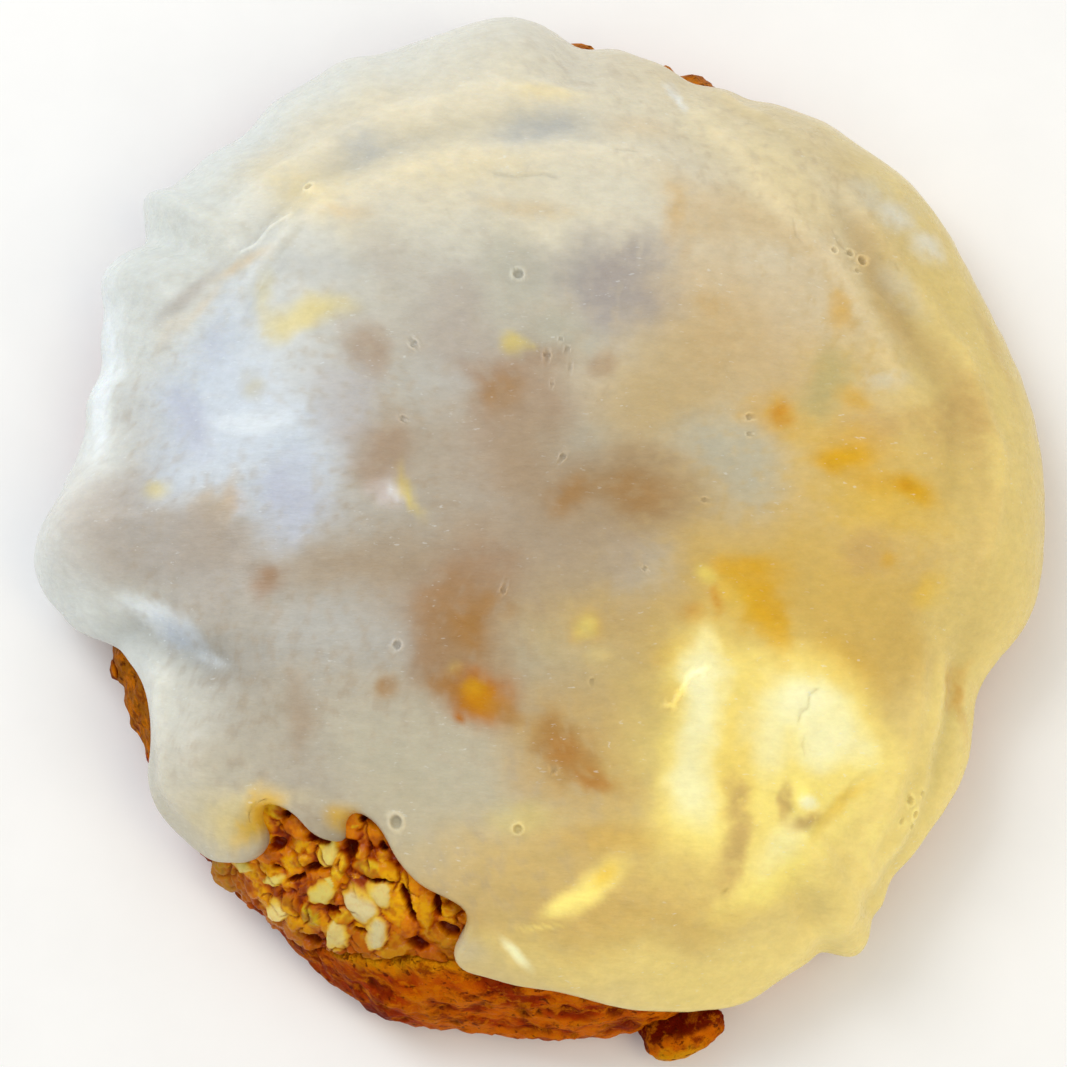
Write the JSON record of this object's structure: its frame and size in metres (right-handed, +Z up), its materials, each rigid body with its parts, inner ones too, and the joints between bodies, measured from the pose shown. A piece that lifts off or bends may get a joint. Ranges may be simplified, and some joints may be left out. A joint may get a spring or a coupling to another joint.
{
  "type": "iced oatmeal cookie",
  "caption": "Thick round oatmeal cookie with a domed top under poured icing that runs down the side in lobes and leaves one patch of crumb bare.",
  "frame": {"origin": "under the middle of the cookie, on the surface that it rests on", "axes": "+Z up; -Y towards the side with the bare patch of crumb; +X to the right seen from that side"},
  "size_m": [0.0752, 0.0799, 0.0186],
  "materials": {
    "baked_dough": "rough baked crust with a craggy oat crumb",
    "sugar_icing": "semi-translucent poured sugar icing, smooth with a soft gloss"
  },
  "bodies": {
    "root": {"cookie": "baked_dough", "icing": "sugar_icing"}
  },
  "joints": []
}
